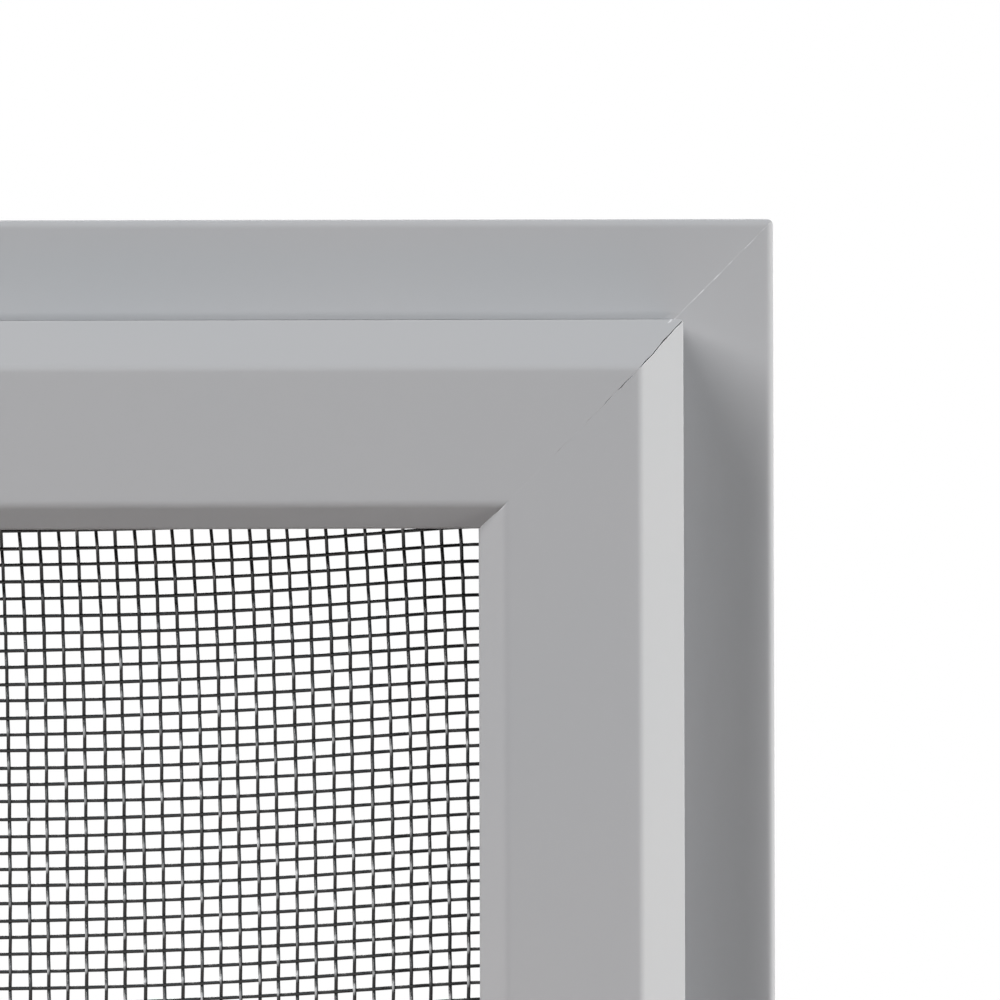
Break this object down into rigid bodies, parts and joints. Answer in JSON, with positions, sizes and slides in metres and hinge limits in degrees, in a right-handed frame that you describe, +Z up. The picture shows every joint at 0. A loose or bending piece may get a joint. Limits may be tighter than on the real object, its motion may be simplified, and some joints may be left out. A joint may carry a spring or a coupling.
{
  "type": "window screen frame",
  "caption": "Rectangular insect screen frame of mitred, bevelled aluminium section with an outer flange, woven mesh held by a rear spline, and a brush seal.",
  "frame": {"origin": "centre of the box around the whole frame, halfway through its depth with the brush seal counted", "axes": "+Z up along the stiles, +X to the right seen from the front, the front faces -Y and the rear seat +Y"},
  "size_m": [0.5, 0.018, 0.6],
  "materials": {
    "frame_coat": "light grey satin powder coat on extruded aluminium",
    "corner_key": "glass-filled nylon moulding",
    "screen_cloth": "black vinyl-coated glass-fibre weave",
    "spline": "ribbed soft vinyl cord",
    "brush_pile": "grey woven pile on a flat backing"
  },
  "bodies": {
    "root": {"top_rail": "frame_coat", "bottom_rail": "frame_coat", "left_stile": "frame_coat", "right_stile": "frame_coat", "corner_key_top_left": "corner_key", "corner_key_top_right": "corner_key", "corner_key_bottom_left": "corner_key", "corner_key_bottom_right": "corner_key", "insect_screen": "screen_cloth", "spline_top": "spline", "spline_bottom": "spline", "spline_left": "spline", "spline_right": "spline", "brush_seal_top": "brush_pile", "brush_seal_bottom": "brush_pile", "brush_seal_left": "brush_pile", "brush_seal_right": "brush_pile"}
  },
  "joints": []
}
